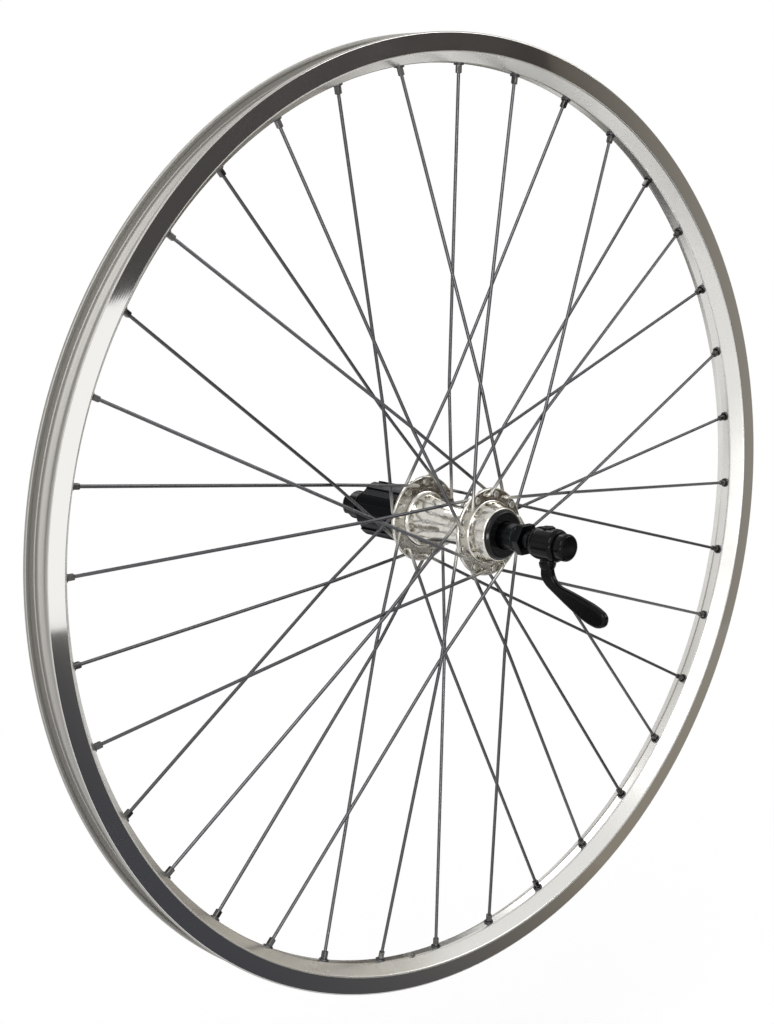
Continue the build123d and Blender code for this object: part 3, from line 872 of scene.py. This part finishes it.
def cone_outline(balls_y, end, outward):
    """A cone from its race at the balls out to its locknut, with a groove before the end."""
    reach = BALL_RADIUS * math.sqrt(2) + RACE_PLAY - BALL_CIRCLE
    groove = end - outward * GROOVE_FROM_END
    return [
        (AXLE_RADIUS, balls_y + outward * (AXLE_RADIUS + reach), 0),
        (CONE_RADIUS, balls_y + outward * (CONE_RADIUS + reach), 0.0003),
        (CONE_RADIUS, groove - outward * 0.0008, 0.0002),
        (GROOVE_RADIUS, groove - outward * 0.0004, 0.0002),
        (GROOVE_RADIUS, groove + outward * 0.0002, 0.0002),
        (CONE_RADIUS, groove + outward * 0.0006, 0.0002),
        (CONE_RADIUS, end, 0.0004),
        (AXLE_RADIUS, end, 0),
    ]


# Black-oxide steel: almost black with an oily sheen.
oxide = finish(
    "black_oxide_steel", ("#26292A", "#151718"), metallic=1.0, roughness=(0.20, 0.34),
    grain_mm=1.5, relief=0.06,
)
cones = turned(cone_outline(LEFT_BALLS, -CONE_END, -1), steps=64)
take_in(cones, turned(cone_outline(RIGHT_BALLS, CONE_END, 1), steps=64))
cones = piece_from(cones, "cone_pair")
smooth(cones)
belongs(cones, oxide, "axle_set", "cone_black", "cones")

# Locknuts: hexagon nuts of blacked steel, chamfered on both faces. Each is tightened against its
# cone to lock it, and its outer face meets the frame's dropout.

LOCKNUT_RADIUS = 0.0170 / math.sqrt(3)
LOCKNUT_WIDTH = 0.0050
LOCKNUT_CHAMFER = 0.0006
BORE_LENGTH = 0.2
HEX_TURN = Matrix.Rotation(math.radians(30), 4, "Z")

locknuts = bmesh.new()
for start in (-CONE_END - LOCKNUT_WIDTH, CONE_END):
    made = bmesh.ops.create_circle(
        locknuts, cap_ends=True, segments=6, radius=LOCKNUT_RADIUS,
        matrix=Matrix.Translation((0, start, 0)) @ ALONG_AXLE @ HEX_TURN,
    )
    push(locknuts, made["verts"][0].link_faces[0], (0, LOCKNUT_WIDTH, 0))
bmesh.ops.recalc_face_normals(locknuts, faces=locknuts.faces)
hex_edges = [e for e in locknuts.edges if abs(e.verts[0].co.y - e.verts[1].co.y) < 0.0001]
round_edges(locknuts, hex_edges, offset=LOCKNUT_CHAMFER, segments=2)
locknuts = piece_from(locknuts, "locknut_pair")
bore = bmesh.new()
rod(bore, AXLE_RADIUS, BORE_LENGTH, sides=48, place=ALONG_AXLE)
carve(locknuts, bore)
smooth(locknuts)
belongs(locknuts, oxide, "axle_set", "cone_black", "locknuts")

# Freehub: a core screwed into the hub carries two sprung pawls, and the body that runs round it
# has a ratchet inside and nine splines outside for the sprockets. A moulded seal is pressed into
# its outer end and keeps dirt from the bearing.

FREEHUB_START = 0.0258
FREEHUB_END = 0.0632
FREEHUB_RADIUS = 0.0173
FREEHUB_BORE = 0.0142
SPLINES = 9
SPLINE_DEPTH = 0.0012
SPLINE_SHOULDER = 0.0025
SPLINE_GROOVE = 0.0054
KEY_GROOVE = 0.0036
SEAL_START = 0.0609
SEAL_STEP = SEAL_START + 0.0007
SEAL_RADIUS = 0.0141


def soften(piece, width, segments):
    """Round a carved piece's sharp edges."""
    edges = piece.modifiers.new("edges", "BEVEL")
    edges.width = width
    edges.segments = segments
    edges.limit_method = "ANGLE"
    edges.angle_limit = math.radians(40)


def finish_solid(node, material):
    """Give a node's own solid a new finish."""
    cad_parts[node].data.materials.clear()
    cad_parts[node].data.materials.append(material)


# Black anodised aluminium: blue-black and satin, with the marks of the spline cutter.
anodised = finish(
    "black_anodised_aluminium", ("#15181C", "#0D0F12"), metallic=1.0, roughness=(0.26, 0.42),
    grain_mm=1.2, relief=0.1,
)
freehub = piece_from(turned([
    (FREEHUB_BORE, FREEHUB_START, 0),
    (FREEHUB_RADIUS, FREEHUB_START, 0.0004),
    (FREEHUB_RADIUS, FREEHUB_END, 0.0006),
    (FREEHUB_BORE, FREEHUB_END, 0.0003),
], steps=108), "freehub_splines")
grooves = bmesh.new()
groove_length = FREEHUB_END - FREEHUB_START - SPLINE_SHOULDER
for index in range(SPLINES):
    width = KEY_GROOVE if index == 0 else SPLINE_GROOVE
    spin = Matrix.Rotation(math.radians(-90) - index * math.tau / SPLINES, 4, "Y")
    size = Matrix.Diagonal((2 * SPLINE_DEPTH, 2 * groove_length, width, 1))
    bmesh.ops.create_cube(
        grooves, size=1, matrix=spin @ Matrix.Translation((FREEHUB_RADIUS, FREEHUB_END, 0)) @ size,
    )
carve(freehub, grooves)
soften(freehub, width=0.00025, segments=2)
smooth(freehub)
belongs(freehub, anodised, "freehub", "freehub_black", "freehub_body")
seal = piece_from(turned([
    (CAP_BORE, SEAL_START, 0),
    (CAP_BORE, SEAL_START + 0.0008, 0.0002),
    (0.0120, SEAL_START + 0.0012, 0.0003),
    (0.0130, SEAL_STEP, 0.0003),
    (SEAL_RADIUS, SEAL_STEP, 0.0002),
    (SEAL_RADIUS, SEAL_START, 0),
], steps=96), "freehub_dust_seal")
smooth(seal)
belongs(seal, nylon, "freehub", "cap_black")
finish_solid("freehub_core", oxide)
finish_solid("freehub_pawls", oxide)

# Quick-release head: a housing die-cast in zinc and painted black, which clamps the left dropout.
# The lever's shaft turns across it, and the eccentric and the end of the rod are inside.

PIVOT_Y = -0.0825
HEAD_HALF = 0.0096
HEAD_START = -0.0730
HEAD_END = -0.0920
BARREL_NECK = 0.0070
BARREL_RADIUS = 0.0079
BARREL_END = -0.0990
SHAFT_HOLE = 0.00458
PIN_HOLE = 0.00258
HOLE_STEP = -0.0010
HOLE_END = 0.0200
SCREW_FLAT = (0.0200, 0.0094, 0.0012, 1)

# Black paint on die-cast metal: a deep gloss with a slight ripple.
paint = finish(
    "glossy_black_paint", ("#060607", "#0B0B0C"), metallic=0.0, roughness=(0.08, 0.16),
    grain_mm=2.5, relief=0.04, shine=0.12,
)
housing = piece_from(turned([
    (AXLE_BORE, HEAD_START, 0.0003),
    (0.0080, HEAD_START, 0.0008),
    (HEAD_HALF, HEAD_START - 0.0032, 0.0020),
    (HEAD_HALF, HEAD_END, 0.0026),
    (BARREL_NECK, HEAD_END, 0.0004),
    (BARREL_NECK, HEAD_END - 0.0010, 0.0004),
    (BARREL_RADIUS, HEAD_END - 0.0016, 0.0005),
    (BARREL_RADIUS, BARREL_END, 0.0020),
    (0, BARREL_END, 0),
    (0, PIVOT_Y, 0),
    (AXLE_BORE, PIVOT_Y, 0),
], steps=64), "release_housing")
carve(housing, turned([
    (0, -HOLE_END, 0),
    (SHAFT_HOLE, -HOLE_END, 0),
    (SHAFT_HOLE, HOLE_STEP, 0),
    (PIN_HOLE, HOLE_STEP, 0),
    (PIN_HOLE, HOLE_END, 0),
    (0, HOLE_END, 0),
], steps=40, place=Matrix.Translation((0, PIVOT_Y, 0))))
flat = bmesh.new()
bmesh.ops.create_cube(
    flat, size=1,
    matrix=Matrix.Translation((0, PIVOT_Y, HEAD_HALF)) @ Matrix.Diagonal(SCREW_FLAT),
)
carve(housing, flat)
smooth(housing)
belongs(housing, paint, "quick_release", "release_black", "qr_housing")

# Quick-release lever: a forged and painted paddle on a shaft that turns in the housing, with an
# eccentric between its journals that pulls the skewer tight.

LEVER_HALF = 0.0025
LEVER_ROUNDING = 0.0019
COLLAR_Z = -0.0106
COLLAR_RADIUS = 0.0050
JOURNAL_RADIUS = 0.0045
JOURNAL_END = -0.0032
PIN_RADIUS = 0.0025
SCREW_SEAT = HEAD_HALF - 0.0006
ECCENTRIC_RADIUS = 0.0035
ECCENTRIC_WIDTH = 0.0064
ECCENTRIC_THROW = 0.0007

lever = bmesh.new()
rounded_wire(lever, [
    (-0.0040, COLLAR_Z, 0),
    (-0.0040, -0.0200, 0.0026),
    (0.0005, -0.0243, 0.0020),
    (0.0170, -0.0336, 0.0050),
    (0.0307, -0.0404, 0.0050),
    (0.0408, -0.0424, 0.0036),
    (0.0456, -0.0388, 0.0032),
    (0.0452, -0.0332, 0.0032),
    (0.0373, -0.0292, 0.0040),
    (0.0198, -0.0247, 0.0050),
    (0.0085, -0.0224, 0.0034),
    (0.0040, -0.0165, 0.0034),
    (0.0040, COLLAR_Z, 0),
])
bmesh.ops.contextual_create(lever, geom=lever.edges[:])
across_pivot = Matrix((
    (0, 1, 0, -LEVER_HALF),
    (-1, 0, 0, PIVOT_Y),
    (0, 0, 1, 0),
    (0, 0, 0, 1),
))
bmesh.ops.transform(lever, matrix=across_pivot, verts=lever.verts)
lever.faces.ensure_lookup_table()
push(lever, lever.faces[0], (2 * LEVER_HALF, 0, 0))
bmesh.ops.recalc_face_normals(lever, faces=lever.faces)
outlines = [e for e in lever.edges if abs(e.verts[0].co.x - e.verts[1].co.x) < 0.0001]
round_edges(lever, outlines, offset=LEVER_ROUNDING, segments=5)
take_in(lever, turned([
    (0, COLLAR_Z - 0.0040, 0),
    (0.0040, COLLAR_Z - 0.0040, 0.0010),
    (COLLAR_RADIUS, COLLAR_Z - 0.0012, 0.0008),
    (COLLAR_RADIUS, COLLAR_Z, 0.0002),
    (JOURNAL_RADIUS, COLLAR_Z, 0),
    (JOURNAL_RADIUS, JOURNAL_END, 0.0003),
    (PIN_RADIUS, JOURNAL_END, 0),
    (PIN_RADIUS, SCREW_SEAT, 0),
    (0, SCREW_SEAT, 0),
], steps=40, place=Matrix.Translation((0, PIVOT_Y, 0))))
rod(
    lever, ECCENTRIC_RADIUS, ECCENTRIC_WIDTH, sides=40,
    place=Matrix.Translation((ECCENTRIC_THROW, PIVOT_Y, 0)),
)
lever = piece_from(lever, "release_lever")
smooth(lever)
belongs(lever, paint, "lever", "release_black", "qr_lever")

# Cap screw: a small hexagon head of blacked steel with a socket. It is screwed into the end of the
# lever's shaft and keeps the shaft in the housing.

SCREW_RADIUS = 0.0042
SCREW_HEIGHT = 0.0010
SOCKET_WALL = 0.0019
SOCKET_DEPTH = 0.0006

screw = bmesh.new()
made = bmesh.ops.create_circle(
    screw, cap_ends=True, segments=6, radius=SCREW_RADIUS,
    matrix=Matrix.Translation((0, PIVOT_Y, SCREW_SEAT)) @ HEX_TURN,
)
top = push(screw, made["verts"][0].link_faces[0], (0, 0, SCREW_HEIGHT))
bmesh.ops.recalc_face_normals(screw, faces=screw.faces)
bmesh.ops.inset_region(screw, faces=[top], thickness=SOCKET_WALL)
push(screw, top, (0, 0, -SOCKET_DEPTH))
brims = [e for e in screw.edges if min(v.co.z for v in e.verts) > HEAD_HALF + 0.0002]
round_edges(screw, brims, offset=0.0003, segments=2)
screw = piece_from(screw, "cap_screw_head")
smooth(screw)
belongs(screw, oxide, "lever", "release_black", "lever_cap_screw")

# Skewer: a steel rod through the axle. Its left end is pulled by the lever's eccentric, and the
# painted thumb nut on its right end clamps the other dropout.

NUT_START = 0.0740
NUT_END = 0.0870
NUT_RADIUS = 0.0089
NUT_BORE = 0.0025
NUT_FLOOR = NUT_END - 0.0020
THUMB_FLAT = (0.03, 0.012, 0.0078, 1)

finish_solid("skewer_rod", thread)
nut = piece_from(turned([
    (NUT_BORE, NUT_START, 0.0003),
    (NUT_RADIUS, NUT_START, 0.0007),
    (NUT_RADIUS, NUT_END, 0.0030),
    (0, NUT_END, 0),
    (0, NUT_FLOOR, 0),
    (NUT_BORE, NUT_FLOOR, 0),
], steps=64), "skewer_thumb_nut")
flats = bmesh.new()
for side in (-1, 1):
    place = Matrix.Translation((0, NUT_END, side * NUT_RADIUS))
    bmesh.ops.create_cube(flats, size=1, matrix=place @ Matrix.Diagonal(THUMB_FLAT))
carve(nut, flats)
soften(nut, width=0.0005, segments=3)
smooth(nut)
belongs(nut, paint, "nut", "release_black", "skewer_nut")
